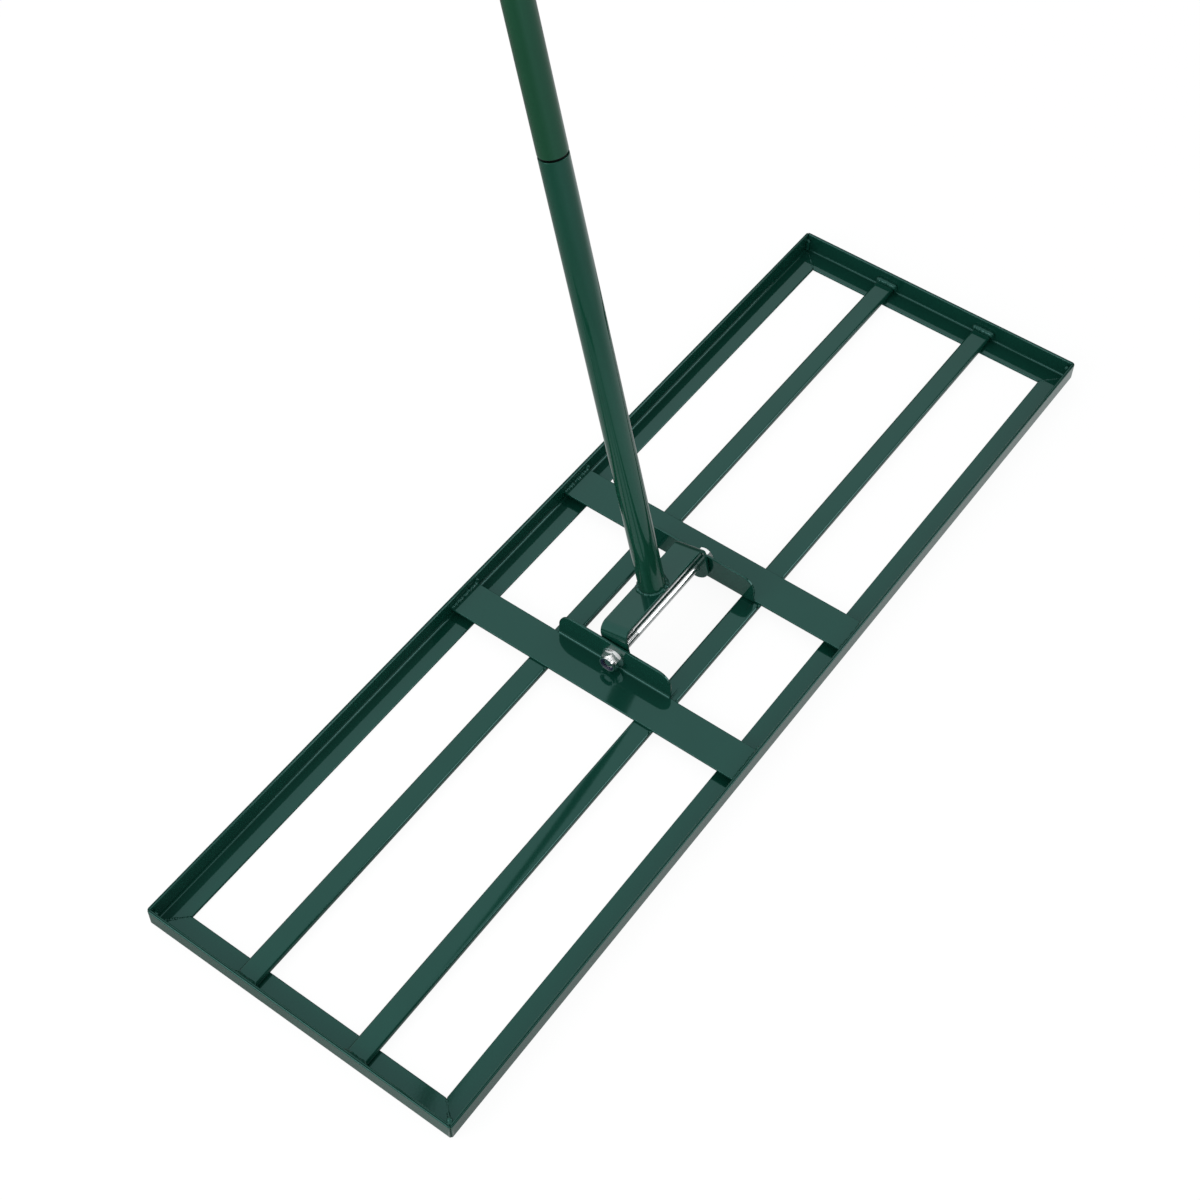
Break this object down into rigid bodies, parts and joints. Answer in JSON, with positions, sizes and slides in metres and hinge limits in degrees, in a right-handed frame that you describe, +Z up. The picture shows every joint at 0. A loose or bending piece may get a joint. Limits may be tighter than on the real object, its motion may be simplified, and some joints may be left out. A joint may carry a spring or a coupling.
{
  "type": "lawn leveling rake",
  "caption": "Long-handled lawn leveling rake: an open welded grid of folded steel rails, bars and cross plates, with a screw-together tube handle hinged on a cross bolt.",
  "frame": {"origin": "on the ground, in the middle of the front rail's flat sole", "axes": "+X along the head's length towards the bolt's head, +Y across the head towards the side the handle leans to, +Z up"},
  "size_m": [0.8, 0.5793, 1.8298],
  "materials": {
    "green_paint": "glossy dark green powder coat",
    "zinc_plate": "bright zinc plate",
    "black_steel": "turned steel, blackened and oiled",
    "blue_nylon": "moulded nylon",
    "grip_rubber": "matte moulded rubber"
  },
  "bodies": {
    "head": {"rear_rail": "green_paint", "front_rail": "green_paint", "left_end_rail": "green_paint", "right_end_rail": "green_paint", "rear_bar": "green_paint", "front_bar": "green_paint", "left_cross_plate": "green_paint", "right_cross_plate": "green_paint", "corner_welds": "green_paint", "bar_welds": "green_paint", "plate_welds": "green_paint", "pivot_bolt": "zinc_plate", "lock_nut": "zinc_plate", "nylon_ring": "blue_nylon"},
    "handle": {"yoke": "green_paint", "foot_weld": "green_paint", "tube_1": "green_paint", "tube_2": "green_paint", "tube_3": "green_paint", "tube_4": "green_paint", "tube_5": "green_paint", "socket_1": "black_steel", "socket_2": "black_steel", "socket_3": "black_steel", "socket_4": "black_steel", "stud_1": "black_steel", "stud_2": "black_steel", "stud_3": "black_steel", "stud_4": "black_steel", "grip": "grip_rubber"}
  },
  "joints": [
    {"name": "handle_tilt", "type": "hinge", "parent": "head", "child": "handle", "pos_m": [0, 0.1145, 0.02], "axis": [1, 0, 0], "range_deg": [-71, 98]}
  ]
}
